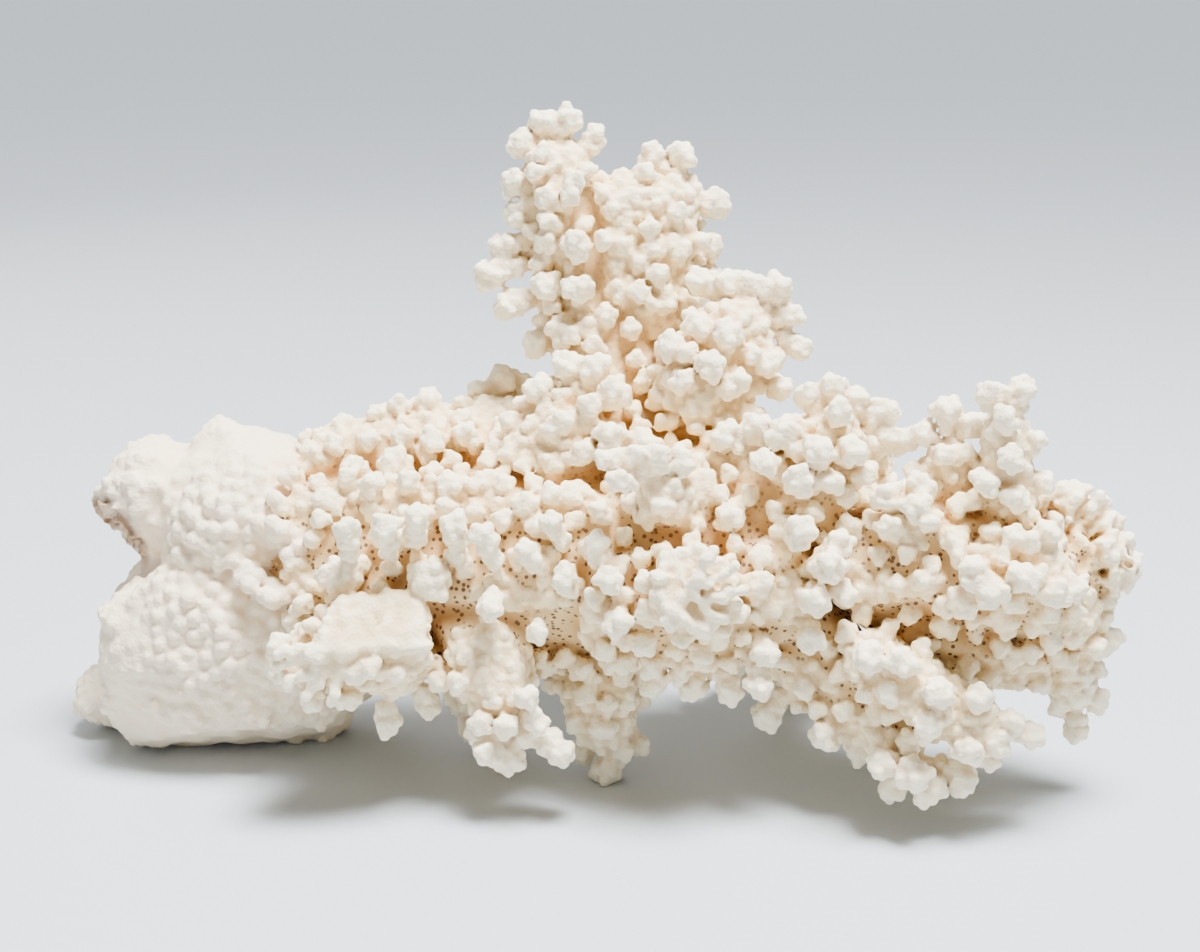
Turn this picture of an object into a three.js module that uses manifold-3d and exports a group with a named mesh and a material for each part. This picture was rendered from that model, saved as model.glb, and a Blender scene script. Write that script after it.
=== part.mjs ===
// Branching coral: a bleached, knobbly stony coral skeleton about 27 cm long, lying on its side.
// A smooth attachment base sits at the low-X end, a thick trunk runs along +X, and lobes of blunt
// branchlets rise, hang and spread from it. The skeleton is split at its main forks.
// Units are millimetres, +Z is up, and the origin is the middle of the flat cut under the base.
import * as THREE from "three";
import { mergeVertices } from "three/addons/utils/BufferGeometryUtils.js";
import Module from "manifold-3d";

const wasm = await Module();
wasm.setup();

// Driving dimensions
const GAP = 0.4; // left between two pieces that meet
const FLATNESS = 0.12; // corners that stand out from their faces by less than this are left out
const CORE_SIDES = 6;
const CORE_END = 0.6; // how far a core's blunt end stands past its last point, in core radii
const FINGER_SIDES = 4;
const STUB_SIDES = 7;
const ROOT_DEPTH = 0.45; // where a branchlet starts inside its core, as a share of the core's radius
const END_ROOT_DEPTH = 0; // the same for a branchlet that carries on past the core's end
const HEAD_DROP = 0.5; // from a branchlet's end back to its widest ring, in head radii
const BUMP_ROOM = 1.3; // how far the small bumps on a branchlet's head stand proud of its solid
const KNOB_REACH = 9; // how far the branchlets placed by rule, the knobs, stand out from a core
const KNOB_RADIUS = 8;
const KNOB_SPACING = 16.5; // least distance from a knob's end to any other end
const KNOB_AREA = 40; // of a core's surface, for each place where a knob is tried
const GOLDEN_ANGLE = Math.PI * (3 - Math.sqrt(5));
const SWELL = 0.05; // the shallow swells of a weathered lump, as a share of its radius
const TRIM_BOX = 600; // side of the boxes that take away what lies past a plane

const up = new THREE.Vector3(0, 1, 0);
const vector = ([x, y, z]) => new THREE.Vector3(x, y, z);

// A closed three.js geometry as a solid, with its doubled and collapsed corners taken out.
function solid(geometry) {
  const bare = geometry.clone();
  bare.deleteAttribute("normal");
  bare.deleteAttribute("uv");
  const merged = mergeVertices(bare, 1e-4);
  const corners = [];
  const index = merged.index.array;
  for (let i = 0; i < index.length; i += 3) {
    const [a, b, c] = [index[i], index[i + 1], index[i + 2]];
    if (a !== b && b !== c && c !== a) corners.push(a, b, c);
  }
  return new wasm.Manifold(
    new wasm.Mesh({
      numProp: 3,
      vertProperties: merged.attributes.position.array,
      triVerts: new Uint32Array(corners),
    }),
  );
}

function union(parts) {
  return parts.reduce((sum, part) => sum.add(part));
}

// A turned form on the line from one point to another. Its profile holds [radius, distance] pairs.
function turned(profile, from, to, sides, twist) {
  const outline = profile.map(([r, along]) => new THREE.Vector2(r, along));
  const shape = new THREE.LatheGeometry(outline, sides);
  const turn = new THREE.Quaternion().setFromUnitVectors(up, to.clone().sub(from).normalize());
  shape.rotateY(twist).applyQuaternion(turn).translate(from.x, from.y, from.z);
  return solid(shape);
}

// A branch's core: a turned form whose rings are moved onto the points of the branch in order.
function coreForm(core, margin) {
  const last = core.length - 1;
  const profile = [new THREE.Vector2(0, -1), ...core.map((_, i) => new THREE.Vector2(1, i))];
  profile.push(new THREE.Vector2(0, core.length));
  const shape = new THREE.LatheGeometry(profile, CORE_SIDES);
  const points = core.map(vector);
  const side = new THREE.Vector3(0.2, 0.97, 0.1);
  const rings = points.map((centre, i) => {
    const ahead = points[Math.min(i + 1, last)].clone().sub(points[Math.max(i - 1, 0)]).normalize();
    const x = side.clone().cross(ahead).normalize();
    return { centre, ahead, x, z: x.clone().cross(ahead), radius: core[i][3] + margin };
  });
  const corner = shape.attributes.position;
  for (let i = 0; i < corner.count; i += 1) {
    const level = Math.round(corner.getY(i));
    const ring = rings[THREE.MathUtils.clamp(level, 0, last)];
    const past = level < 0 ? -1 : level > last ? 1 : 0;
    const moved = ring.centre
      .clone()
      .addScaledVector(ring.x, corner.getX(i) * ring.radius)
      .addScaledVector(ring.z, corner.getZ(i) * ring.radius)
      .addScaledVector(ring.ahead, past * CORE_END * ring.radius);
    corner.setXYZ(i, moved.x, moved.y, moved.z);
  }
  return solid(shape);
}

// A blunt branchlet: it widens from its root, inside the core, to a swollen head near its end.
function finger(root, end, radius, twist, margin) {
  const length = root.distanceTo(end) + margin;
  const widest = Math.max(length - radius * HEAD_DROP, length * 0.5);
  const profile = [
    [0, -margin],
    [radius - BUMP_ROOM + margin, widest],
    [0, length],
  ];
  return turned(profile, root, end, FINGER_SIDES, twist);
}

// A weathered lump: a ball stretched to three radii, with shallow swells and hollows.
function lump([x, y, z, rx, ry, rz], margin) {
  const ball = new THREE.IcosahedronGeometry(1, rx > 14 ? 1 : 0);
  const corner = ball.attributes.position;
  for (let i = 0; i < corner.count; i += 1) {
    const v = new THREE.Vector3().fromBufferAttribute(corner, i);
    const swell = 1 + SWELL * Math.sin(3 * v.x + x) + SWELL * Math.cos(4 * v.y + 3 * v.z + y);
    const [a, b, c] = [rx, ry, rz].map((r) => r * swell + margin);
    corner.setXYZ(i, x + v.x * a, y + v.y * b, z + v.z * c);
  }
  return solid(ball);
}

// A large box that lies wholly past a plane, to take away what passes it.
function beyond({ at, out }, margin) {
  const box = new THREE.BoxGeometry(TRIM_BOX, TRIM_BOX, TRIM_BOX);
  box.translate(0, TRIM_BOX / 2 + margin, 0);
  box.applyQuaternion(new THREE.Quaternion().setFromUnitVectors(up, vector(out).normalize()));
  box.translate(...at);
  return solid(box);
}

// The point of a piece's cores nearest to a place, with the core's radius and direction there.
function nearestOnCore(piece, place) {
  let best = null;
  for (const core of piece.cores) {
    for (let i = 0; i + 1 < core.length; i += 1) {
      const line = new THREE.Line3(vector(core[i]), vector(core[i + 1]));
      const share = line.closestPointToPointParameter(place, true);
      const point = line.at(share, new THREE.Vector3());
      const radius = THREE.MathUtils.lerp(core[i][3], core[i + 1][3], share);
      const distance = point.distanceTo(place);
      const along = line.delta(new THREE.Vector3()).normalize();
      const free = distance - radius;
      if (!best || free < best.free) best = { point, distance, radius, along, free };
    }
  }
  return best;
}

// A branchlet grows straight out of its nearest core.
function rootFor(piece, end) {
  const near = nearestOnCore(piece, end);
  const outward = end.clone().sub(near.point).normalize();
  const depth = THREE.MathUtils.lerp(ROOT_DEPTH, END_ROOT_DEPTH, Math.abs(outward.dot(near.along)));
  const start = Math.min(near.radius * depth, near.distance * 0.5);
  return near.point.clone().addScaledVector(outward, start);
}

// The pieces. A core row is [x, y, z, radius], an end row is a branchlet's end and its head's
// radius, and a column row is a branchlet with a root of its own: its root, then its end row.
// Stouter branchlets fill in by rule where no row put one, except on a bare piece.
const PIECES = [
  {
    name: "base",
    hasLumpsOnly: true,
    lumps: [
      {
        row: [-2, -3, 32, 44, 33, 41],
        faces: [
          { at: [-37, 0, 30], out: [-1, 0, 0.04] },
          { at: [-30, 0, 47], out: [-0.55, 0, 0.84] },
          { at: [0, -33, 16], out: [0.06, -0.54, -0.84] },
          { at: [28, -20, 16], out: [0.75, -0.3, -0.6] },
        ],
      },
      { row: [-24, 1, 67, 17, 18, 17] },
      { row: [0, -3, 64, 24, 26, 23] },
      { row: [-7, 3, 82, 9, 9, 8] },
      { row: [-41, 2, 10, 11, 12, 11] },
    ],
    hollow: [-40, -10, 58, 13, 14, 9],
    cores: [[[-4, -10, 34, 30], [0, -4, 64, 23]]],
    ends: [
      [1, -28, 74, 5.5], [11, -32, 68, 5.5], [-5, -32, 61, 5.5], [20, -35, 65, 5.5], [7, -38, 58, 5.5],
      [15, -44, 53, 5.5], [-4, -40, 48, 5.5], [3, -44, 42, 5.5], [-12, -36, 52, 5], [8, -24, 82, 5.5],
    ],
    isBare: true,
  },
  {
    name: "trunk",
    cores: [
      [[20, -12, 56, 25], [43, -16, 57, 26], [74, -22, 58, 26], [108, -26, 59, 25], [141, -30, 60, 22]],
      [[94, -38, 56, 16], [120, -41, 52, 16], [143, -41, 60, 16]],
      [[104, -26, 78, 14], [140, -30, 78, 14]],
      [[22, -8, 80, 9], [54, -6, 85, 10]],
    ],
    ends: [
      [27, -6, 92, 6], [37, -6, 96, 6], [49, -4, 99, 6.5], [21, -18, 86, 5.5], [32, -24, 86, 5.5],
      [42, -24, 88, 5.5], [52, -22, 90, 5.5], [62, -18, 91, 5.5], [26, -33, 79, 5.5], [37, -36, 84, 5],
      [47, -36, 85, 5], [57, -37, 84, 5.5], [66, -34, 85, 5.5], [76, -43, 81, 5.5], [87, -40, 83, 5.5],
      [119, -46, 86, 5.5], [126, -51, 80, 5.5],
      [97, -60, 66, 5.5], [99, -62, 54, 5.5], [105, -59, 46, 5.5], [124, -59, 49, 5.5],
      [132, -60, 64, 6.5], [143, -58, 79, 6], [155, -56, 74, 5.5], [151, -62, 70, 6],
      [156, -58, 61, 5], [147, -64, 60, 6], [147, -60, 47, 5.5], [136, -60, 43, 5.5], [135, -60, 34, 5],
      [118, -44, 27, 5.5], [108, -42, 28, 5.5], [129, -47, 27, 5.5], [100, -50, 36, 5],
    ],
    columns: [
      [34, -36, 54, 34, -54, 78, 5], [43, -36, 56, 43, -54, 79, 5], [48, -36, 60, 51, -54, 81, 5],
      [61, -42, 54, 59, -50, 79, 5], [72, -44, 54, 66, -52, 77, 5], [86, -44, 54, 76, -52, 72, 5],
      [90, -42, 62, 82, -50, 78, 4.5], [100, -44, 54, 93, -54, 74, 5], [67, -44, 60, 69, -59, 55, 5.5],
      [80, -40, 50, 91, -59, 41, 4.5], [79, -38, 50, 80, -58, 49, 4.5], [88, -42, 62, 86, -57, 64, 5],
    ],
    stub: { root: [115, -46, 56], end: [118, -63, 64], length: 19, radius: 11 },
  },
  {
    name: "overhang",
    cores: [[[119, -38, 74, 8], [109, -46, 84, 6.5]]],
    ends: [
      [117, -48, 94, 5.5], [108, -51, 96, 5.5], [100, -52, 96, 5], [94, -54, 95, 4.5], [97, -57, 89, 4.5],
      [109, -54, 80, 4.5],
    ],
    isBare: true,
  },
  {
    name: "upper_branch",
    cores: [[[143, -32, 73, 16], [149, -34, 88, 11], [154, -35, 98, 7]]],
    ends: [
      [151, -34, 110, 6], [143, -34, 106, 5.5], [160, -34, 106, 5.5], [169, -35, 101, 5.5],
      [172, -37, 92, 5], [158, -50, 95, 6], [147, -52, 95, 6], [152, -46, 104, 5.5], [137, -45, 99, 6],
      [132, -48, 91, 5.5], [141, -54, 87, 6], [162, -46, 86, 5], [130, -38, 99, 5.5], [122, -37, 96, 5.5],
      [151, -52, 86, 5],
    ],
  },
  {
    name: "end_branch",
    cores: [
      [[160, -36, 60, 16], [184, -42, 64, 17], [201, -44, 60, 17], [213, -42, 50, 12]],
      [[176, -44, 68, 11], [169, -47, 78, 8]],
      [[186, -54, 66, 9], [204, -56, 65, 9]],
      [[172, -36, 48, 15], [204, -40, 40, 11]],
    ],
    ends: [
      [180, -63, 57, 6.5], [172, -60, 64, 5.5], [178, -57, 49, 5.5], [191, -62, 54, 6], [201, -60, 51, 5.5],
      [210, -54, 46, 5.5], [206, -49, 37, 5.5], [217, -47, 44, 5.5], [225, -43, 41, 5.5],
      [200, -44, 32, 5.5], [162, -51, 85, 6], [163, -55, 75, 6], [171, -58, 83, 6], [179, -58, 76, 5.5],
      [174, -51, 88, 5.5], [182, -68, 70, 6], [187, -71, 64, 6], [194, -71, 69, 6], [202, -69, 63, 6],
      [209, -65, 64, 5.5], [193, -62, 79, 5.5], [201, -60, 80, 5.5],
    ],
  },
  {
    name: "end_fan",
    cores: [[[183, -40, 76, 8], [180, -40, 92, 5]]],
    ends: [
      [171, -40, 98, 5.5], [179, -41, 106, 5.5], [188, -41, 101, 5.5], [169, -41, 86, 5],
      [177, -49, 93, 5], [185, -48, 93, 4.5],
    ],
  },
  {
    name: "end_stalk",
    cores: [[[195, -46, 74, 8], [193, -48, 89, 6.5], [192, -48, 101, 5]]],
    ends: [
      [186, -48, 111, 6], [197, -48, 112, 6], [190, -57, 104, 5.5], [202, -51, 97, 5.5],
      [192, -60, 94, 5.5], [184, -58, 88, 5.5], [204, -53, 87, 5.5], [194, -60, 84, 5.5],
    ],
  },
  {
    name: "end_plate",
    cores: [[[205, -44, 66, 8], [209, -44, 68, 7]]],
    fan: {
      foot: [206, -45, 66],
      rim: [
        [207, -42, 83], [211, -41, 83], [214, -41, 82], [218, -41, 79], [221, -41, 75], [224, -41, 70],
        [226, -42, 64], [225, -43, 59], [223, -44, 55], [219, -45, 53], [214, -46, 54],
      ],
      thickness: 6,
      ribRadius: 4.2,
    },
    ends: [],
    isBare: true,
  },
  {
    name: "hanging_branch",
    cores: [[[210, -40, 42, 8], [216, -39, 27, 6]]],
    ends: [[217, -39, 14, 5.5], [225, -39, 25, 5.5], [209, -39, 22, 5], [223, -38, 36, 5.5]],
    isBare: true,
  },
  {
    name: "lower_branch",
    cores: [[[146, -34, 42, 14], [160, -46, 31, 10], [170, -55, 20, 7]]],
    ends: [
      [161, -69, 20, 6], [166, -60, 7, 6], [177, -67, 10, 6.5], [171, -73, 18, 6], [187, -64, 13, 6],
      [148, -54, 19, 6], [159, -42, 11, 6], [135, -37, 17, 6], [170, -66, 26, 5.5],
    ],
  },
  {
    name: "lower_front_branch",
    cores: [[[160, -50, 43, 9], [172, -61, 37, 8], [188, -61, 28, 7]]],
    ends: [
      [157, -69, 50, 6], [166, -70, 50, 6], [162, -69, 40, 5.5], [173, -74, 32, 6.5], [176, -74, 42, 6],
      [187, -70, 41, 6], [182, -71, 23, 6], [191, -70, 25, 6], [197, -67, 32, 6], [204, -62, 25, 5.5],
      [190, -63, 17, 5],
    ],
    isBare: true,
  },
  {
    name: "front_fan",
    cores: [[[61, -32, 46, 13], [67, -44, 40, 12], [72, -50, 30, 8]]],
    ends: [
      [58, -56, 35, 5], [63, -59, 26, 5], [79, -56, 20, 5], [72, -63, 26, 5], [73, -55, 12, 5.5],
      [82, -62, 28, 5], [88, -58, 17, 5.5], [62, -48, 18, 5.5], [78, -62, 36, 4.5], [66, -58, 16, 5],
    ],
    isBare: true,
  },
  {
    name: "rear_fan",
    cores: [[[92, -24, 38, 13], [95, -28, 23, 10], [97, -30, 11, 7]]],
    ends: [
      [108, -28, 8, 5.5], [103, -36, 8, 5], [97, -33, -1, 6.5], [88, -25, 4, 5.5], [108, -21, 18, 5.5],
      [86, -35, 16, 5], [95, -41, 18, 5.5], [104, -37, 24, 5.5], [90, -41, 27, 5],
    ],
  },
  {
    name: "low_left_fan",
    cores: [[[56, -14, 38, 13], [60, -13, 24, 9], [62, -12, 14, 7]]],
    ends: [[59, -13, 3, 6], [67, -17, 4, 5.5], [54, -16, 13, 5.5], [70, -7, 10, 5.5], [60, -3, 9, 5.5]],
  },
  {
    name: "left_plate",
    lumps: [
      {
        row: [39, -52, 50, 22, 15, 16],
        faces: [
          { at: [41, -57, 53], out: [0.15, -0.75, 0.64] },
          { at: [40, -53, 60], out: [-0.12, 0.63, 0.77] },
          { at: [42, -61, 47], out: [0.1, -0.63, -0.77] },
          { at: [53, -55, 54], out: [0.98, 0.2, 0] },
          { at: [29, -58, 54], out: [-0.84, 0.13, 0.4] },
        ],
      },
    ],
    cores: [[[21, -49, 43, 8], [47, -46, 38, 8]]],
    ends: [
      [15, -58, 48, 5.5], [17, -60, 39, 5.5], [24, -57, 30, 5.5], [32, -55, 29, 5.5], [41, -49, 20, 5.5],
      [53, -43, 23, 5.5], [27, -63, 43, 4.5], [36, -63, 42, 4.5], [46, -60, 42, 4.5],
    ],
    isBare: true,
  },
  {
    name: "middle_lobe",
    cores: [[[84, -18, 82, 16], [90, -19, 94, 12]]],
    ends: [
      [95, -22, 112, 6], [86, -19, 112, 6], [77, -20, 105, 6], [101, -29, 106, 6], [93, -33, 102, 5.5],
      [84, -34, 97, 6], [110, -37, 91, 5.5], [99, -38, 94, 5.5], [69, -18, 95, 5.5],
      [69, -27, 88, 5.5], [91, -37, 89, 5],
    ],
  },
  {
    name: "crown",
    cores: [
      [[105, -8, 83, 17], [99, 0, 105, 14], [91, 5, 127, 12], [86, 7, 146, 10], [84, 8, 158, 8]],
      [[99, 2, 112, 12], [101, 3, 132, 11], [102, 4, 149, 9]],
    ],
    ends: [
      [79, 8, 170, 6], [88, 8, 171, 6], [97, 10, 163, 6], [71, 6, 162, 6], [69, 4, 151, 6],
      [70, 3, 142, 6], [62, 0, 127, 6], [66, 2, 134, 5.5], [67, -2, 119, 6], [75, -3, 109, 6],
      [89, -13, 138, 6], [89, -15, 127, 6], [80, -6, 149, 6], [89, -7, 153, 5.5], [97, -6, 146, 6],
      [101, -10, 136, 5.5],
      [79, -6, 137, 6], [101, -12, 125, 5.5], [79, -9, 126, 6], [82, -12, 115, 6], [78, -1, 159, 5.5],
      [92, -14, 116, 5.5],
    ],
  },
  {
    name: "crown_side",
    cores: [[[105, 1, 115, 12], [109, 5, 134, 11], [113, 8, 149, 8.5]]],
    ends: [
      [107, 10, 161, 6], [118, 10, 161, 6], [122, 10, 150, 5.5], [129, 10, 144, 6], [127, 9, 134, 6],
      [128, 8, 125, 5.5], [109, -4, 148, 6], [108, -9, 136, 6], [117, -7, 136, 6], [113, -11, 124, 5.5],
      [103, 7, 154, 5.5], [101, -1, 146, 5.5], [119, 0, 142, 5.5], [103, -9, 129, 5.5],
    ],
  },
  {
    name: "shoulder",
    cores: [[[120, -18, 96, 14], [125, -15, 110, 12], [132, -14, 120, 9]]],
    ends: [
      [117, -9, 130, 5.5], [125, -13, 132, 6], [134, -13, 132, 6], [143, -13, 130, 6], [147, -13, 120, 5.5],
      [149, -14, 110, 5.5], [118, -25, 122, 6], [110, -27, 116, 6], [127, -30, 120, 6], [122, -34, 112, 6],
      [114, -32, 108, 5.5], [131, -33, 107, 5.5], [140, -27, 110, 5.5], [144, -22, 102, 5.5],
    ],
  },
  {
    name: "back_left_branch",
    cores: [[[66, -4, 75, 15], [66, 9, 88, 10]]],
    ends: [[61, 10, 98, 6], [70, 10, 102, 6], [78, 12, 97, 6], [55, 11, 87, 6], [66, 22, 95, 6]],
  },
  {
    name: "back_branch",
    cores: [[[84, -8, 64, 16], [90, 14, 70, 13], [94, 28, 78, 9]]],
    ends: [[95, 40, 86, 6], [84, 36, 80, 6], [104, 36, 76, 6]],
  },
  {
    name: "back_right_branch",
    cores: [[[150, -20, 62, 15], [160, 4, 68, 12], [168, 18, 76, 9]]],
    ends: [[171, 29, 84, 6], [180, 22, 78, 6], [162, 30, 75, 6]],
  },
  {
    name: "back_foot_branch",
    cores: [[[126, -12, 46, 15], [138, 8, 32, 12], [148, 19, 17, 8]]],
    ends: [[150, 24, -1, 6.5], [160, 19, 6, 6], [139, 27, 7, 6], [154, 31, 16, 6]],
  },
];

const endsSoFar = PIECES.flatMap((piece) => [...piece.ends, ...(piece.columns ?? [])]);

// True where a knob's end has room: clear of every other end and of the other pieces' cores.
function hasRoom(piece, end) {
  if (end.z < KNOB_RADIUS) return false;
  if (endsSoFar.some((row) => vector(row.slice(-4)).distanceTo(end) < KNOB_SPACING)) return false;
  return PIECES.every((other) => other === piece || nearestOnCore(other, end).free > KNOB_RADIUS);
}

// Knobs placed by rule: a spiral along each stretch of core at the golden angle, where there is room.
function knobRows(piece) {
  const rows = [];
  for (const core of piece.isBare ? [] : piece.cores) {
    for (let i = 0; i + 1 < core.length; i += 1) {
      const line = new THREE.Line3(vector(core[i]), vector(core[i + 1]));
      const area = Math.PI * (core[i][3] + core[i + 1][3]) * line.distance();
      const tries = Math.ceil(area / KNOB_AREA);
      const direction = line.delta(new THREE.Vector3()).normalize();
      const side = new THREE.Vector3(0.31, 0.57, 0.76).cross(direction).normalize();
      for (let k = 0; k < tries; k += 1) {
        const share = (k + 0.5) / tries;
        const radius = THREE.MathUtils.lerp(core[i][3], core[i + 1][3], share);
        side.applyAxisAngle(direction, GOLDEN_ANGLE);
        const end = line.at(share, new THREE.Vector3()).addScaledVector(side, radius + KNOB_REACH);
        if (!hasRoom(piece, end)) continue;
        const row = [end.x, end.y, end.z, KNOB_RADIUS];
        rows.push(row);
        endsSoFar.push(row);
      }
    }
  }
  return rows;
}

// The stub of a lost branch: it widens to the flat face where the branch broke off.
function stubForm({ root, end, length, radius }) {
  const profile = [
    [0, 0],
    [radius * 0.8, 0],
    [radius, length],
    [0, length],
  ];
  return turned(profile, vector(root), vector(end), STUB_SIDES, 0);
}

// A broken fan seen face on: a flat web with ribs that run from its foot out past its rim.
function fanForm({ foot, rim, thickness, ribRadius }, margin) {
  const hub = vector(foot);
  const xAxis = vector(rim[0]).sub(hub).normalize();
  const normal = xAxis.clone().cross(vector(rim[rim.length - 1]).sub(hub)).normalize();
  const yAxis = normal.clone().cross(xAxis);
  const flat = rim.map((row) => {
    const offset = vector(row).sub(hub);
    return new THREE.Vector2(offset.dot(xAxis), offset.dot(yAxis));
  });
  const outline = new THREE.Shape([new THREE.Vector2(-6, -4), ...flat]);
  const depth = thickness + 2 * margin;
  const web = new THREE.ExtrudeGeometry(outline, { depth, bevelEnabled: false });
  web.translate(0, 0, -depth / 2);
  web.applyMatrix4(new THREE.Matrix4().makeBasis(xAxis, yAxis, normal).setPosition(hub));
  const ribs = rim.filter((_, i) => i % 2 === 1).map((row) => {
    const end = hub.clone().lerp(vector(row), 1.07);
    return finger(hub.clone().lerp(vector(row), 0.3), end, ribRadius, 0, margin);
  });
  return union([solid(web), ...ribs]);
}

// All the closed forms of a piece as one solid, grown by a margin.
function pieceForm(piece, margin) {
  const forms = piece.hasLumpsOnly ? [] : piece.cores.map((core) => coreForm(core, margin));
  for (const { row, faces = [] } of piece.lumps ?? []) {
    const trims = faces.map((face) => beyond(face, margin));
    forms.push(trims.reduce((form, trim) => form.subtract(trim), lump(row, margin)));
  }
  [...piece.ends, ...piece.knobs].forEach((row, i) => {
    const end = vector(row);
    forms.push(finger(rootFor(piece, end), end, row[3], i * GOLDEN_ANGLE, margin));
  });
  (piece.columns ?? []).forEach((row, i) => {
    forms.push(finger(vector(row), vector(row.slice(3)), row[6], i * GOLDEN_ANGLE, margin));
  });
  if (piece.stub) forms.push(stubForm(piece.stub));
  if (piece.fan) forms.push(fanForm(piece.fan, margin));
  const whole = piece.hollow ? union(forms).subtract(lump(piece.hollow, -margin)) : union(forms);
  return whole.asOriginal().simplify(FLATNESS);
}

// The largest of the bodies that a cut leaves.
function largestBody(form) {
  const body = form.decompose().reduce((best, next) => (next.volume() > best.volume() ? next : best));
  return body.asOriginal().simplify(FLATNESS);
}

function toGeometry(form) {
  const mesh = form.getMesh();
  const geometry = new THREE.BufferGeometry();
  geometry.setAttribute("position", new THREE.BufferAttribute(mesh.vertProperties, 3));
  geometry.setIndex(new THREE.BufferAttribute(mesh.triVerts, 1));
  geometry.computeVertexNormals();
  return geometry;
}

// Each piece takes its place in turn, and stops a gap short of the pieces already placed.
const skeleton = { color: 0xf3ebdf, roughness: 0.85, metalness: 0 };
const coral = new THREE.Group();
const ground = beyond({ at: [0, 0, 0], out: [0, 0, -1] }, 0);
let taken = null;
for (const piece of PIECES) {
  piece.knobs = knobRows(piece);
  const whole = pieceForm(piece, 0).subtract(ground);
  const form = largestBody(taken ? whole.subtract(taken) : whole);
  const mesh = new THREE.Mesh(toGeometry(form), new THREE.MeshStandardMaterial(skeleton));
  mesh.name = piece.name;
  coral.add(mesh);
  const clearance = pieceForm(piece, GAP);
  taken = taken ? taken.add(clearance) : clearance;
}

export default coral;
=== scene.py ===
"""Branching coral: the looks of a bleached, knobbly coral skeleton that lies on its side.

The faceted solids say where the branchlets are. They are filled into a voxel grid, softened,
covered with short buds, lumps and small round bumps, and turned back into one fine surface.
That surface is then split where the solids are, so that each piece stands for its own solid.
Lengths in this script are in millimetres until a mesh is made, and in metres after that.
"""

import bpy
import numpy as np
from math import cos, dist, pi, radians, sin
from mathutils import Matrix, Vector


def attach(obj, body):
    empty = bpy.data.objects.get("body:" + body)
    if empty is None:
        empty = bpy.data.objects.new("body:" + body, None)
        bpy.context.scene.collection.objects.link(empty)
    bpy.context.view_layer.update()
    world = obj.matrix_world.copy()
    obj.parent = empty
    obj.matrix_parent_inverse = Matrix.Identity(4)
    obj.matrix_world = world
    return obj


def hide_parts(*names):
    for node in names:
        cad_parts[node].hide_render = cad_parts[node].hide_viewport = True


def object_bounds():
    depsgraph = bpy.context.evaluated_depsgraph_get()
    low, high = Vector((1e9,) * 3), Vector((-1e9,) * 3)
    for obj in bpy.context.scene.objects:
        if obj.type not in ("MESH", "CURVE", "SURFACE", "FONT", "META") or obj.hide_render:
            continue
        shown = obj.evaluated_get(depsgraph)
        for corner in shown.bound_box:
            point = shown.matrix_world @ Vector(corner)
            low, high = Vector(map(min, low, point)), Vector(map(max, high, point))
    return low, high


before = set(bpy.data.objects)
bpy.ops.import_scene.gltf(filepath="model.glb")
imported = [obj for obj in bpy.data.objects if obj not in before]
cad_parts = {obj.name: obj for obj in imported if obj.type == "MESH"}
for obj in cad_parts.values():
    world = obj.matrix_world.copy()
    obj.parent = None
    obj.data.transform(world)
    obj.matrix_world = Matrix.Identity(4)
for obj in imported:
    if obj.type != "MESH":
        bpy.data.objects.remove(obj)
cad_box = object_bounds()

MM = 0.001
SEED = 7
VOXEL = 0.82  # the size of a voxel; the finest that keeps the largest piece within its limit
MARGIN = 7.0  # empty room kept round the solids in the grid
LABEL_REACH = 11.0  # how far outside its solid a piece may reach
OUTSIDE = -9.0  # a depth far outside every surface
STEEPNESS = 1.702  # makes the curve of log(share / (1 - share)) fit that of a bell curve's sum

# How the solids are softened
SOFTEN = 1.1  # a corner's rounding
BASE_SOFTEN = 2.6  # the same on the weathered base
BASE_SEAM = 1.5  # how gradually the base's softening passes into that of the branches
WEATHER = 0.45  # how uneven the base is
WEATHER_GRAIN = 1.7  # and the width of its unevenness

# How surroundings are felt
OPEN_REACH = 5.5  # how far round a point
OPEN_STEP = 3  # how many voxels a cell of the coarser grid has on a side
FINE_REACH = 1.6  # how far round a point for the shade between neighbouring bumps

# Buds fill recesses, lumps break up straight sides, and bumps cover them all.
BUD_SPACING = 6.2
BUD_LENGTH = (2.5, 6.0)
BUD_RADIUS = (2.4, 1.9)  # at its root and at its tip
BUD_SCATTER = 0.25  # how far a bud's direction strays
BUD_LIFT = 0.25  # how much it turns up
LUMP_SPACING = 4.4
LUMP_RADIUS = (1.8, 2.5)
LUMP_RISE = -0.5  # how far a lump's middle stands outside the surface, in radii
BUMP_SPACING = 2.4
BUMP_RADIUS = (1.35, 1.7)
BUMP_RISE = -0.25
FAINT_SIZE = 0.6  # the faintest bumps' radius, as a share of a full one's
FAINT_SINK = 0.6  # how much lower they stand, in radii
BASE_BUMP_SPACING = 3.4  # the low bumps on the base's front right side
BASE_BUMP_RADIUS = (1.8, 2.5)
BASE_BUMP_RISE = -0.2
BASE_BUMP_RANGE = ((-32, -14), (-22, -8), (8, 20))  # where they fade in or out along x, y and z
BLEND = 0.4  # width of the soft seam between a bump and what it sits on
FINISH = 0.3  # the last softening of all
PULLS = 2  # how often the mesh's corners are pulled onto the surface
PULL_LIMIT = 0.35  # how far each time, in voxels

# How open a spot is, from 0 in a deep recess, through 0.5 on a flat, to 1 on a sharp end
BUD_OPENNESS = (0.42, 0.58)
LUMP_OPENNESS = 0.50
BUMP_OPENNESS = (0.46, 0.54)  # no bumps below the first, and full ones above the second
HIGH_COVER = 0.06  # how much less open a spot with bumps may be on the upper side
BASE_OPENNESS = (0.60, 0.66)
PORED_OPENNESS = (0.50, 0.58)  # the pores' painted shade is full below the first, and gone above the second
PORED_HEIGHT = (70, 90)  # between these heights the lower side passes into the upper side
FAINT_PORES = 0.2  # how strong the pores' painted shade is on the upper side
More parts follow.
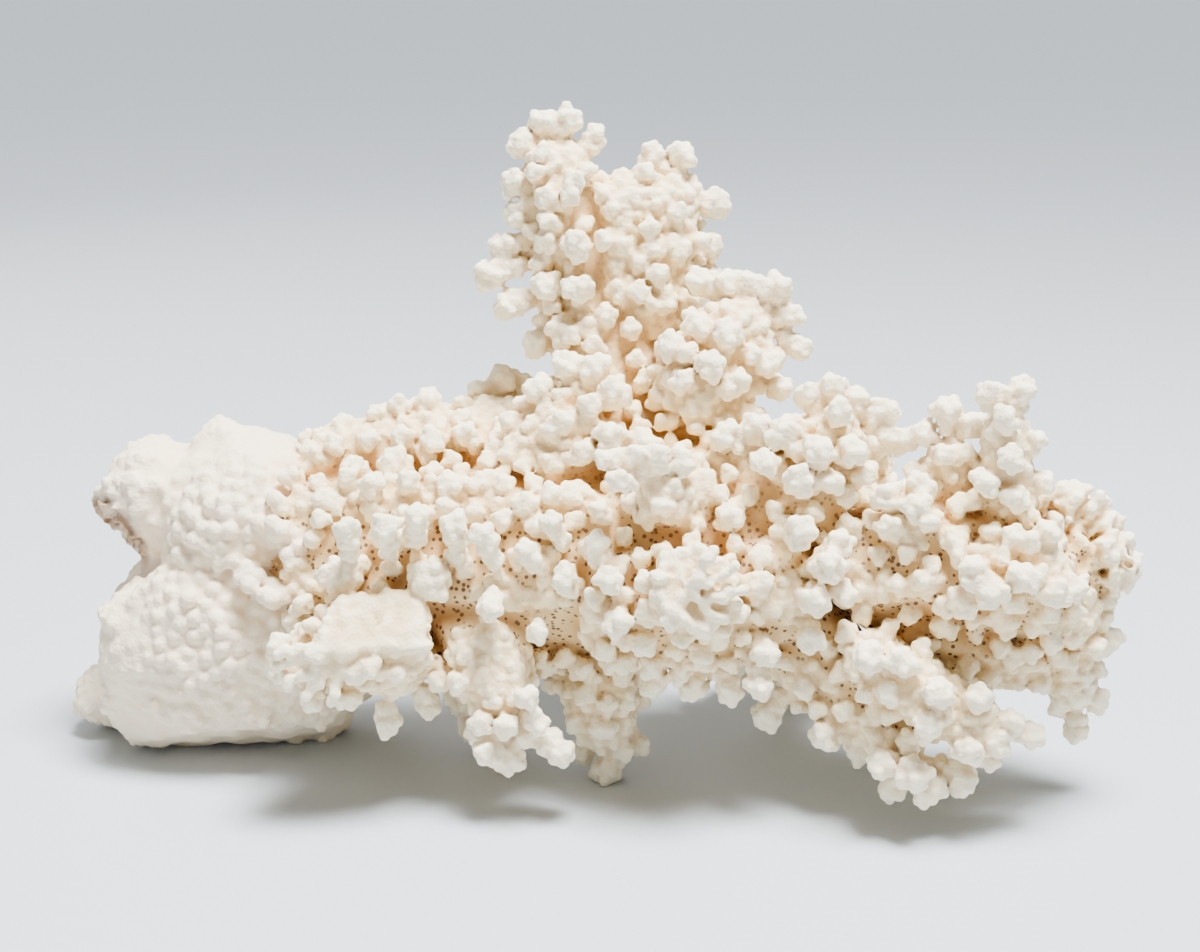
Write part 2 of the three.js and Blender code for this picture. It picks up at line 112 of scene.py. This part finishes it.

# Broken faces are rough and have no bumps: a middle, a reach, the way it faces, and a roughness.
# The last is the base's eroded hollow, which is also brown.
BROKEN = (
    ((42, -59, 54), 17, (0.25, -0.72, 0.62), 0.25),
    ((217, -48, 69), 17, (0.1, -1, 0.1), 0.7),
    ((118, -68, 65), 11, (0.1, -0.7, 0.3), 0.6),
    ((100, -52, 78), 9, (-0.4, -0.6, -0.7), 0.6),
    ((-38, -12, 58), 15, (-0.8, -0.6, 0), 1.0),
)
BROKEN_TURN = (0.3, 0.2)  # a face counts as broken from this cosine on, fully after this much more
ROUGH_GRAIN = 0.9  # width of the roughness
FADE = 3  # how far inside its reach a spot fades in

# Fans of fine ridges: a hub, the ridges' ends, and their radius
RIDGES = (
    (
        (34, -59, 48),
        ((17, -61, 47), (16, -61, 43), (19, -62, 39), (24, -62, 36), (30, -62, 35)),
        1.0,
    ),
    (
        (206, -47, 66),
        (
            (211, -46, 82),
            (216, -46, 81),
            (221, -46, 77),
            (224, -46, 72),
            (226, -46, 66),
            (225, -47, 60),
            (221, -48, 55),
            (215, -49, 54),
        ),
        1.1,
    ),
    (
        (113, -65, 62),
        ((122, -65, 74), (127, -65, 70), (128, -65, 64), (124, -66, 58), (117, -67, 56)),
        1.1,
    ),
)

# Bare skin with no buds: a middle and a reach for each
BARE = (
    ((62, -48, 52), 16),
    ((82, -48, 47), 14),
    ((90, -10, 128), 12),
    ((24, -40, 61), 9),
    ((142, -52, 52), 13),
)

NODES = {name: i + 1 for i, name in enumerate(sorted(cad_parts))}
rng = np.random.default_rng(SEED)

low = np.array(cad_box[0]) / MM - MARGIN
high = np.array(cad_box[1]) / MM + MARGIN
shape = tuple(np.ceil((high - low) / VOXEL).astype(int) + 1)


# The voxel grid


def to_grid(points):
    """Millimetres to places in the grid, where whole numbers are voxel centres."""
    return (points - low) / VOXEL


def triangles_of(obj):
    """The triangles of a mesh object as an array of corners, in grid places."""
    mesh = obj.data
    mesh.calc_loop_triangles()
    corners = np.empty(len(mesh.vertices) * 3)
    mesh.vertices.foreach_get("co", corners)
    index = np.empty(len(mesh.loop_triangles) * 3, np.int64)
    mesh.loop_triangles.foreach_get("vertices", index)
    return to_grid(corners.reshape(-1, 3) / MM)[index.reshape(-1, 3)]


def mark_inside(labels, triangles, label):
    """Labels the voxels inside a closed mesh. A voxel is inside if a ray up to it crosses the
    mesh an odd number of times."""
    nudge = np.array([0.0137, 0.0071, 0.0])  # keeps the rays off edges and corners
    corners = triangles + nudge
    start = np.floor(corners.min((0, 1))).astype(int)
    size = np.ceil(corners.max((0, 1))).astype(int) - start + 2
    crossings = np.zeros(size, np.uint8)
    for a, b, c in corners - start:
        x0, y0 = np.ceil(np.minimum(np.minimum(a, b), c)[:2]).astype(int)
        x1, y1 = np.floor(np.maximum(np.maximum(a, b), c)[:2]).astype(int)
        area = (b[0] - a[0]) * (c[1] - a[1]) - (b[1] - a[1]) * (c[0] - a[0])
        if x1 < x0 or y1 < y0 or abs(area) < 1e-9:
            continue
        x, y = np.mgrid[x0 : x1 + 1, y0 : y1 + 1]
        u = ((x - a[0]) * (c[1] - a[1]) - (y - a[1]) * (c[0] - a[0])) / area
        v = ((b[0] - a[0]) * (y - a[1]) - (b[1] - a[1]) * (x - a[0])) / area
        hit = (u >= 0) & (v >= 0) & (u + v <= 1)
        z = a[2] + u * (b[2] - a[2]) + v * (c[2] - a[2])
        crossings[x[hit], y[hit], np.ceil(z[hit]).astype(int)] ^= 1
    inside = np.bitwise_xor.accumulate(crossings, axis=2).astype(bool)
    region = tuple(slice(s, s + n) for s, n in zip(start, size))
    labels[region][inside] = label


def blurred(grid, width):
    """The grid softened by a bell curve of that width, in voxels."""
    reach = int(np.ceil(width * 2.5))
    steps = np.arange(-reach, reach + 1)
    weights = np.exp(-0.5 * (steps / width) ** 2)
    weights = (weights / weights.sum()).astype(np.float32)
    for axis in range(3):
        total = grid * weights[reach]
        for step in range(1, reach + 1):
            ahead = [slice(None)] * 3
            behind = [slice(None)] * 3
            ahead[axis] = slice(step, None)
            behind[axis] = slice(None, -step)
            total[tuple(behind)] += grid[tuple(ahead)] * weights[reach + step]
            total[tuple(ahead)] += grid[tuple(behind)] * weights[reach + step]
        grid = total
    return grid


def depth_of(soft, width):
    """Distance inside the surface, in millimetres, from a solid softened by that width."""
    share = np.clip(soft, 1e-4, 1 - 1e-4)
    return np.log(share / (1 - share)) * (width / STEEPNESS)


def openness_of(solid):
    """How open the surroundings of each voxel are, on the coarser grid."""
    step = OPEN_STEP
    trimmed = solid[tuple(slice(0, n - n % step) for n in solid.shape)]
    nx, ny, nz = (n // step for n in trimmed.shape)
    coarse = trimmed.reshape(nx, step, ny, step, nz, step).mean((1, 3, 5)).astype(np.float32)
    return 1 - blurred(coarse, OPEN_REACH / VOXEL / step)


def sample(grid, places, step=1):
    """The grid's values at places that aren't whole numbers, from their eight neighbours."""
    p = (places - (step - 1) / 2) / step
    p = np.clip(p, 0, np.array(grid.shape) - 1.001)
    whole = np.floor(p).astype(int)
    part = p - whole
    total = np.zeros(len(p))
    for corner in np.ndindex(2, 2, 2):
        weight = np.prod(np.where(corner, part, 1 - part), axis=1)
        total += weight * grid[tuple((whole + corner).T)]
    return total


def slope(grid, places):
    """The unit direction in which the grid grows fastest."""
    rise = np.stack([sample(grid, places + d) - sample(grid, places - d) for d in np.eye(3)], 1)
    return rise / (np.linalg.norm(rise, axis=1, keepdims=True) + 1e-9)


# Lumps and bumps


def surface_places(depth):
    """Grid places on the surface, one near each voxel that the surface passes, in random order."""
    near = np.argwhere(np.abs(depth) < 0.5 * VOXEL).astype(float)
    near = near[rng.permutation(len(near))]
    return near - slope(depth, near) * (sample(depth, near) / VOXEL)[:, None]


def spread(places, spacing):
    """Picks places so that no two are closer than spacing, in voxels."""
    cells = np.floor(places / (spacing / 3)).astype(int)
    first = np.unique(cells @ (1, 10_000, 100_000_000), return_index=True)[1]
    places = places[np.sort(first)]
    kept = {}
    picked = []
    steps = [(i - 1, j - 1, k - 1) for i, j, k in np.ndindex(3, 3, 3)]
    cells = np.floor(places / spacing).astype(int).tolist()
    for place, (i, j, k) in zip(places.tolist(), cells):
        near = [kept.get((i + di, j + dj, k + dk), ()) for di, dj, dk in steps]
        if all(dist(place, other) >= spacing for group in near for other in group):
            kept.setdefault((i, j, k), []).append(place)
            picked.append(place)
    return np.array(picked)


def add_rods(grid, starts, ends, start_radii, end_radii):
    """Raises the grid to the depth inside each tapered, round-ended rod. Places are in voxels."""
    for start, end, radius_a, radius_b in zip(starts, ends, start_radii, end_radii):
        reach = (max(radius_a, radius_b) + 2 * BLEND) / VOXEL + 1
        first = np.maximum(np.floor(np.minimum(start, end) - reach).astype(int), 0)
        last = np.minimum(np.ceil(np.maximum(start, end) + reach).astype(int), grid.shape)
        x, y, z = np.ogrid[tuple(slice(a, b) for a, b in zip(first, last))]
        along = end - start
        x, y, z = x - start[0], y - start[1], z - start[2]
        share = (x * along[0] + y * along[1] + z * along[2]) / max(along @ along, 1e-9)
        share = np.clip(share, 0, 1)
        far = (x - share * along[0]) ** 2 + (y - share * along[1]) ** 2 + (z - share * along[2]) ** 2
        depth = radius_a + (radius_b - radius_a) * share - np.sqrt(far) * VOXEL
        region = tuple(slice(a, b) for a, b in zip(first, last))
        grid[region] = np.maximum(grid[region], depth)


def joined(a, b):
    """The union of two depth grids, with a soft seam."""
    seam = np.clip(1 - np.abs(a - b) / BLEND, 0, 1)
    return np.maximum(a, b) + seam * seam * (BLEND / 4)


def with_balls(depth, places, radii, rises):
    """The depth grid with a ball at each place on its surface. A rise is in radii."""
    middles = places - slope(depth, places) * (radii * rises / VOXEL)[:, None]
    balls = np.full(depth.shape, OUTSIDE, np.float32)
    add_rods(balls, middles, middles, radii, radii)
    return joined(depth, balls)


def with_buds(depth, places, lengths):
    """The depth grid with a short branchlet at each place on its surface."""
    ahead = -slope(depth, places) + rng.normal(0, BUD_SCATTER, places.shape) + (0, 0, BUD_LIFT)
    ahead /= np.linalg.norm(ahead, axis=1, keepdims=True)
    roots = places - ahead * (BUD_RADIUS[0] / VOXEL)
    tips = places + ahead * ((lengths - BUD_RADIUS[1]) / VOXEL)[:, None]
    buds = np.full(depth.shape, OUTSIDE, np.float32)
    count = len(places)
    add_rods(buds, roots, tips, np.full(count, BUD_RADIUS[0]), np.full(count, BUD_RADIUS[1]))
    return joined(depth, buds)


def between(limits, count):
    """That many random numbers between two limits."""
    return rng.uniform(limits[0], limits[1], count)


# From the grid to a mesh


def surface_of(depth):
    """The surface at depth zero: corners in grid places, and four-sided faces."""
    inside = depth > 0
    cells = [slice(0, -1), slice(1, None)]
    count = sum(
        inside[cells[i], cells[j], cells[k]].astype(np.uint8) for i, j, k in np.ndindex(2, 2, 2)
    )
    active = (count > 0) & (count < 8)
    number = np.full(active.shape, -1, np.int32)
    number[active] = np.arange(active.sum())
    cell = np.argwhere(active)
    total = np.zeros((len(cell), 3))
    crossed = np.zeros(len(cell))
    for axis in range(3):
        for other in np.ndindex(2, 2):
            corner = np.insert(np.array(other), axis, 0)
            step = np.eye(3, dtype=int)[axis]
            here = depth[tuple((cell + corner).T)]
            there = depth[tuple((cell + corner + step).T)]
            cross = (here > 0) != (there > 0)
            share = np.where(cross, here / np.where(cross, here - there, 1), 0)
            total += (corner + share[:, None] * step) * cross[:, None]
            crossed += cross
    corners = cell + total / crossed[:, None]
    faces = []
    for axis in range(3):
        first = [slice(1, -1)] * 3
        first[axis] = slice(0, -1)
        second = list(first)
        second[axis] = slice(1, None)
        here, there = inside[tuple(first)], inside[tuple(second)]
        edge = np.argwhere(here != there)
        leaving = here[here != there]
        edge += [0 if a == axis else 1 for a in range(3)]
        b, c = (axis + 1) % 3, (axis + 2) % 3
        ring = []
        for db, dc in ((-1, -1), (0, -1), (0, 0), (-1, 0)):
            place = edge.copy()
            place[:, b] += db
            place[:, c] += dc
            ring.append(number[tuple(place.T)])
        ring = np.stack(ring, 1)
        faces.append(np.where(leaving[:, None], ring, ring[:, ::-1]))
    return corners, np.concatenate(faces)


def grown_labels(labels, rounds):
    """Labels spread outwards from the solids, one voxel a round."""
    labels = labels.copy()
    for _ in range(rounds):
        for axis in range(3):
            for way in (1, -1):
                moved = np.roll(labels, way, axis)
                bare = labels == 0
                labels[bare] = moved[bare]
    return labels


def largest_part(count, faces):
    """Which faces belong to the largest connected part of the surface."""
    group = np.arange(count)
    links = np.concatenate([faces[:, [0, 1]], faces[:, [1, 2]], faces[:, [2, 3]]])
    while True:
        lowest = np.minimum(group[links[:, 0]], group[links[:, 1]])
        before = group.copy()
        np.minimum.at(group, links[:, 0], lowest)
        np.minimum.at(group, links[:, 1], lowest)
        group = group[group]
        if np.array_equal(before, group):
            break
    face_group = group[faces[:, 0]]
    return face_group == np.bincount(face_group).argmax()


def corner_normals(corners, faces):
    """The unit normal at each corner, from the faces that meet there."""
    a, b, c, d = (corners[faces[:, i]] for i in range(4))
    face_normal = np.cross(c - a, d - b)
    normal = np.zeros_like(corners)
    for i in range(4):
        for axis in range(3):
            normal[:, axis] += np.bincount(faces[:, i], face_normal[:, axis], len(corners))
    return normal / (np.linalg.norm(normal, axis=1, keepdims=True) + 1e-12)


def add(name, data):
    """A new object in the scene."""
    obj = bpy.data.objects.new(name, data)
    bpy.context.scene.collection.objects.link(obj)
    return obj


def make_piece(name, corners, faces, normals, marks):
    """A mesh object from a part of the whole surface."""
    used, local = np.unique(faces, return_inverse=True)
    mesh = bpy.data.meshes.new(name)
    mesh.from_pydata(corners[used] * MM, [], local.reshape(-1, 4))
    mesh.shade_smooth()
    mesh.normals_split_custom_set_from_vertices(normals[used])
    for mark, values in marks.items():
        attribute = mesh.attributes.new(mark, "FLOAT", "POINT")
        attribute.data.foreach_set("value", values[used])
    return add(name, mesh)


# The coral's surface

labels = np.zeros(shape, np.int8)
for name, label in NODES.items():
    mark_inside(labels, triangles_of(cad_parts[name]), label)
solid = (labels > 0).astype(np.float32)
near_labels = grown_labels(labels, int(np.ceil(LABEL_REACH / VOXEL)))


def label_at(places):
    """The label of the solid that each grid place belongs to."""
    return near_labels[tuple(np.clip(np.round(places).astype(int), 0, np.array(shape) - 1).T)]


def on_base(places):
    return label_at(places) == NODES["base"]


def share_within(places, middle, reach):
    """1 for grid places well inside a ball, falling to 0 at its surface."""
    far = np.linalg.norm(low + places * VOXEL - middle, axis=1)
    return np.clip((reach - far) / FADE, 0, 1)


def brokenness(places):
    """How far into a broken face each grid place is, from 0 outside to 1 inside."""
    outward = -slope(depth, places)
    share = np.zeros(len(places))
    for middle, reach, facing, _ in BROKEN:
        turned = outward @ (np.array(facing) / np.linalg.norm(facing))
        faced = np.clip((turned - BROKEN_TURN[0]) / BROKEN_TURN[1], 0, 1)
        share = np.maximum(share, share_within(places, middle, reach) * faced)
    return share


def bareness(places):
    """How far into a bare stretch of skin each grid place is, from 0 outside to 1 inside."""
    return np.max([share_within(places, middle, reach) for middle, reach in BARE], axis=0)


def roughen(middle, reach, amount):
    """Makes the surface uneven near a broken face."""
    first = np.maximum(np.floor(to_grid(np.array(middle) - reach)).astype(int), 0)
    last = np.minimum(np.ceil(to_grid(np.array(middle) + reach)).astype(int), shape)
    region = tuple(slice(a, b) for a, b in zip(first, last))
    uneven = blurred(rng.standard_normal(last - first).astype(np.float32), ROUGH_GRAIN / VOXEL)
    places = np.stack(np.mgrid[region], -1).reshape(-1, 3)
    share = share_within(places, middle, reach).reshape(uneven.shape)
    depth[region] += share * uneven / uneven.std() * amount


def base_cover(places):
    """How thickly the base's front right side is covered with bumps, from 0 to 1."""
    x, y, z = (low + places * VOXEL).T
    range_x, range_y, range_z = BASE_BUMP_RANGE
    cover = np.interp(x, range_x, (0, 1)) * np.interp(y, range_y, (1, 0))
    return cover * np.interp(z, range_z, (0, 1))


def faded(radii, fullness):
    """Radii made smaller where bumps are faint."""
    return radii * (FAINT_SIZE + (1 - FAINT_SIZE) * fullness)


def height_of(places):
    """Heights of grid places above the ground."""
    return low[2] + places[:, 2] * VOXEL


depth = depth_of(blurred(solid, SOFTEN / VOXEL), SOFTEN)
base_share = blurred((near_labels == NODES["base"]).astype(np.float32), BASE_SEAM / VOXEL)
worn_depth = depth_of(blurred(solid, BASE_SOFTEN / VOXEL), BASE_SOFTEN)
uneven = blurred(rng.standard_normal(shape, dtype=np.float32), WEATHER_GRAIN / VOXEL)
worn_depth += uneven / uneven.std() * WEATHER
depth += base_share * (worn_depth - depth)
openness = openness_of(solid)

# Buds
places = surface_places(depth)
open_here = sample(openness, places, OPEN_STEP)
fits = (open_here > BUD_OPENNESS[0]) & (open_here < BUD_OPENNESS[1]) & ~on_base(places)
fits &= (brokenness(places) == 0) & (bareness(places) == 0)
places = spread(places[fits], BUD_SPACING / VOXEL)
depth = with_buds(depth, places, between(BUD_LENGTH, len(places)))
openness = openness_of((depth > 0).astype(np.float32))

# Lumps
places = surface_places(depth)
open_here = sample(openness, places, OPEN_STEP)
fits = (open_here > LUMP_OPENNESS) & ~on_base(places) & (brokenness(places) == 0)
places = spread(places[fits], LUMP_SPACING / VOXEL)
radii = between(LUMP_RADIUS, len(places))
depth = with_balls(depth, places, radii, np.full(len(places), LUMP_RISE))

# Ridges
for hub, ends, radius in RIDGES:
    ends = to_grid(np.array(ends))
    hubs = np.tile(to_grid(np.array(hub)), (len(ends), 1))
    radii = np.full(len(ends), radius)
    ridges = np.full(shape, OUTSIDE, np.float32)
    add_rods(ridges, hubs, ends, radii, radii)
    depth = joined(depth, ridges)

# Bumps
places = spread(surface_places(depth), BUMP_SPACING / VOXEL)
open_here = sample(openness, places, OPEN_STEP)
limits = np.where(on_base(places)[:, None], BASE_OPENNESS, BUMP_OPENNESS).T
open_here += HIGH_COVER * np.interp(height_of(places), PORED_HEIGHT, (0, 1)) * ~on_base(places)
fullness = np.clip((open_here - limits[0]) / (limits[1] - limits[0]), 0, 1)
fullness *= 1 - brokenness(places)
places, fullness = places[fullness > 0], fullness[fullness > 0]
radii = faded(between(BUMP_RADIUS, len(places)), fullness)
depth = with_balls(depth, places, radii, BUMP_RISE - FAINT_SINK * (1 - fullness))

# The base's low bumps
places = spread(surface_places(depth), BASE_BUMP_SPACING / VOXEL)
cover = base_cover(places) * on_base(places)
places, cover = places[cover > 0], cover[cover > 0]
radii = faded(between(BASE_BUMP_RADIUS, len(places)), cover)
depth = with_balls(depth, places, radii, BASE_BUMP_RISE - FAINT_SINK * (1 - cover))

for middle, reach, _, amount in BROKEN:
    roughen(middle, reach, amount)

# Everything is cut off at the ground.
height = low[2] + np.arange(shape[2]) * VOXEL
depth = np.minimum(blurred(depth, FINISH / VOXEL), height)

corners, faces = surface_of(depth)
faces = faces[largest_part(len(corners), faces)]
for _ in range(PULLS):
    step = np.clip(sample(depth, corners) / VOXEL, -PULL_LIMIT, PULL_LIMIT)
    corners = corners - slope(depth, corners) * step[:, None]
corners[:, 2] = np.maximum(corners[:, 2], -low[2] / VOXEL)
# How open each spot is at the scale of a bump; the material paints shade into the gaps between bumps
# from it
gap_shade_openness = 1 - blurred((depth > 0).astype(np.float32), FINE_REACH / VOXEL)
hollow, hollow_reach = BROKEN[-1][:2]
# open and fine say how enclosed each corner is; the material turns them into painted shade and a
# painted warm glow
marks = {
    "open": sample(openness, corners, OPEN_STEP),
    "fine": sample(gap_shade_openness, corners),
    "base": on_base(corners).astype(float),
    "worn": share_within(corners, hollow, hollow_reach),
}
# Where the pores get their painted shade: in enclosed spots off the base, fainter on the upper side
marks["pore_painted_shade"] = np.interp(marks["open"], PORED_OPENNESS, (1, 0)) * (1 - marks["base"])
marks["pore_painted_shade"] *= np.interp(height_of(corners), PORED_HEIGHT, (1, FAINT_PORES))
face_label = label_at(corners[faces].mean(1))
corners = low + corners * VOXEL
normals = corner_normals(corners, faces)


# Materials


def skeleton_material(name):
    """Chalky white skeleton: painted shade and a painted warm glow make it tan where it is enclosed,
    painted shade darkens the gaps between its bumps and fills its pores, and it is whitest on its
    open ends.
    """
    material = bpy.data.materials.new(name)
    material.use_nodes = True
    nodes = material.node_tree.nodes
    link = material.node_tree.links.new
    shader = nodes["Principled BSDF"]
    shader.inputs["Roughness"].default_value = 0.8
    shader.inputs["Subsurface Weight"].default_value = 0.3
    shader.inputs["Subsurface Radius"].default_value = (1.0, 0.75, 0.45)
    shader.inputs["Subsurface Scale"].default_value = 2 * MM
    shader.inputs["Specular IOR Level"].default_value = 0.25

    def attribute(mark):
        node = nodes.new("ShaderNodeAttribute")
        node.attribute_name = mark
        return node.outputs["Fac"]

    def ramp(value, *stops):
        node = nodes.new("ShaderNodeValToRGB")
        link(value, node.inputs["Fac"])
        for i, (position, color) in enumerate(stops):
            stop = node.color_ramp.elements[i] if i < 2 else node.color_ramp.elements.new(position)
            stop.position = position
            stop.color = (*color, 1)
        return node.outputs["Color"]

    def mix(kind, factor, a, b):
        node = nodes.new("ShaderNodeMix")
        node.data_type = "RGBA"
        node.blend_type = kind
        for socket, value in (("Factor", factor), ("A", a), ("B", b)):
            if isinstance(value, bpy.types.NodeSocket):
                link(value, node.inputs[socket])
            else:
                node.inputs[socket].default_value = value
        return node.outputs["Result"]

    # Colour: painted shade and a painted warm glow make enclosed spots tan, painted shade darkens
    # the gaps between bumps, the open ends stay white, and the base is paler
    place = nodes.new("ShaderNodeTexCoord").outputs["Object"]
    # Painted shade and painted glow: white on open spots, through cream and orange to tan in deep
    # recesses
    painted_recess_shade_and_glow = ramp(
        attribute("open"),
        (0.32, (0.70, 0.44, 0.19)),
        (0.46, (0.90, 0.68, 0.36)),
        (0.56, (0.95, 0.78, 0.48)),
        (0.68, (0.97, 0.82, 0.55)),
        (0.82, (0.97, 0.86, 0.64)),
    )
    # Painted shade: the narrow gaps between bumps turn brown tan, and the open ends stay white
    ends = ramp(attribute("fine"), (0.40, (0.66, 0.54, 0.38)), (0.60, (1.0, 1.0, 1.0)))
    color = mix("MULTIPLY", 0.55, painted_recess_shade_and_glow, ends)
    base = mix("MULTIPLY", 0.4, (0.92, 0.84, 0.71, 1), painted_recess_shade_and_glow)
    color = mix("MIX", attribute("base"), color, base)

    # Pores: dark brown dots where the pores are, painted shade that stands in for their holes
    pores = nodes.new("ShaderNodeTexVoronoi")
    pores.inputs["Scale"].default_value = 580
    pores.inputs["Randomness"].default_value = 0.85
    link(place, pores.inputs["Vector"])
    pore = ramp(pores.outputs["Distance"], (0.28, (1, 1, 1)), (0.36, (0, 0, 0)))
    pore_painted_shade = mix("MULTIPLY", 1.0, pore, attribute("pore_painted_shade"))
    color = mix("MIX", pore_painted_shade, color, (0.17, 0.09, 0.045, 1))

    # The base's brown, pitted hollow
    patches = nodes.new("ShaderNodeTexNoise")
    patches.inputs["Scale"].default_value = 260
    patches.inputs["Detail"].default_value = 4
    link(place, patches.inputs["Vector"])
    worn = ramp(patches.outputs["Fac"], (0.42, (0.26, 0.16, 0.09)), (0.62, (0.66, 0.52, 0.38)))
    color = mix("MIX", attribute("worn"), color, worn)
    link(color, shader.inputs["Base Color"])

    # Fine grain, and small cups on the branchlets' ends
    grain = nodes.new("ShaderNodeTexNoise")
    grain.inputs["Scale"].default_value = 1500
    grain.inputs["Detail"].default_value = 3
    link(place, grain.inputs["Vector"])
    grained = nodes.new("ShaderNodeBump")
    grained.inputs["Strength"].default_value = 0.35
    grained.inputs["Distance"].default_value = 0.4 * MM
    link(grain.outputs["Fac"], grained.inputs["Height"])
    cups = nodes.new("ShaderNodeTexVoronoi")
    cups.feature = "SMOOTH_F1"
    cups.inputs["Scale"].default_value = 900
    cups.inputs["Smoothness"].default_value = 0.25
    link(place, cups.inputs["Vector"])
    bump = nodes.new("ShaderNodeBump")
    bump.invert = True
    bump.inputs["Distance"].default_value = 0.6 * MM
    link(cups.outputs["Distance"], bump.inputs["Height"])
    link(grained.outputs["Normal"], bump.inputs["Normal"])
    cup_depth = ramp(attribute("open"), (0.5, (0.1, 0.1, 0.1)), (0.62, (0.4, 0.4, 0.4)))
    link(cup_depth, bump.inputs["Strength"])
    link(bump.outputs["Normal"], shader.inputs["Normal"])
    return material


material = skeleton_material("coral_skeleton")
for name, label in NODES.items():
    piece = make_piece(name + "_skin", corners, faces[face_label == label], normals, marks)
    piece.data.materials.append(material)
    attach(piece, "root")
    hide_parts(name)


# Stage


def floor(reach):
    """A plain pale floor."""
    mesh = bpy.data.meshes.new("floor")
    corners = [(-reach, -reach, 0), (reach, -reach, 0), (reach, reach, 0), (-reach, reach, 0)]
    mesh.from_pydata(corners, [], [(0, 1, 2, 3)])
    material = bpy.data.materials.new("floor")
    material.use_nodes = True
    shader = material.node_tree.nodes["Principled BSDF"]
    shader.inputs["Base Color"].default_value = (0.50, 0.54, 0.58, 1)
    shader.inputs["Roughness"].default_value = 0.7
    mesh.materials.append(material)
    obj = add("floor", mesh)


def lamp(name, place, size, power):
    """A square lamp that is aimed at the coral."""
    light = bpy.data.lights.new(name, "AREA")
    light.size = size
    light.energy = power
    obj = add(name, light)
    obj.location = place
    obj.rotation_euler = (AIM - Vector(place)).to_track_quat("-Z", "Y").to_euler()


def sky_light(name, tilt, spread_angle, power):
    """Light from above that is as strong far away as it is near."""
    light = bpy.data.lights.new(name, "SUN")
    light.energy = power
    light.angle = spread_angle
    add(name, light).rotation_euler = tilt


AIM = Vector((0.095, -0.032, 0.083))
DISTANCE = 0.48  # from the camera to the point that it and the lamps are aimed at
ELEVATION = radians(16)

floor(14)
lamp("key", (0.25, -0.15, 0.95), 0.3, 34)
lamp("fill", (-0.6, -0.7, 0.45), 0.7, 1.5)
sky_light("sky", (radians(8), radians(10), 0), radians(25), 5)
lamp("back", (-0.4, 0.6, 0.6), 0.6, 4)
world = bpy.data.worlds.new("world")
world.use_nodes = True
background = world.node_tree.nodes["Background"]
background.inputs["Color"].default_value = (0.93, 0.97, 1.0, 1)
background.inputs["Strength"].default_value = 0.2
bpy.context.scene.world = world

lens = bpy.data.cameras.new("camera")
lens.lens = 57.6
lens.sensor_width = 36
lens.clip_start = 0.01
camera = add("camera", lens)
camera.location = AIM + DISTANCE * Vector((0, -cos(ELEVATION), sin(ELEVATION)))
camera.rotation_euler = (pi / 2 - ELEVATION, 0, 0)
bpy.context.scene.camera = camera

bpy.context.view_layer.update()
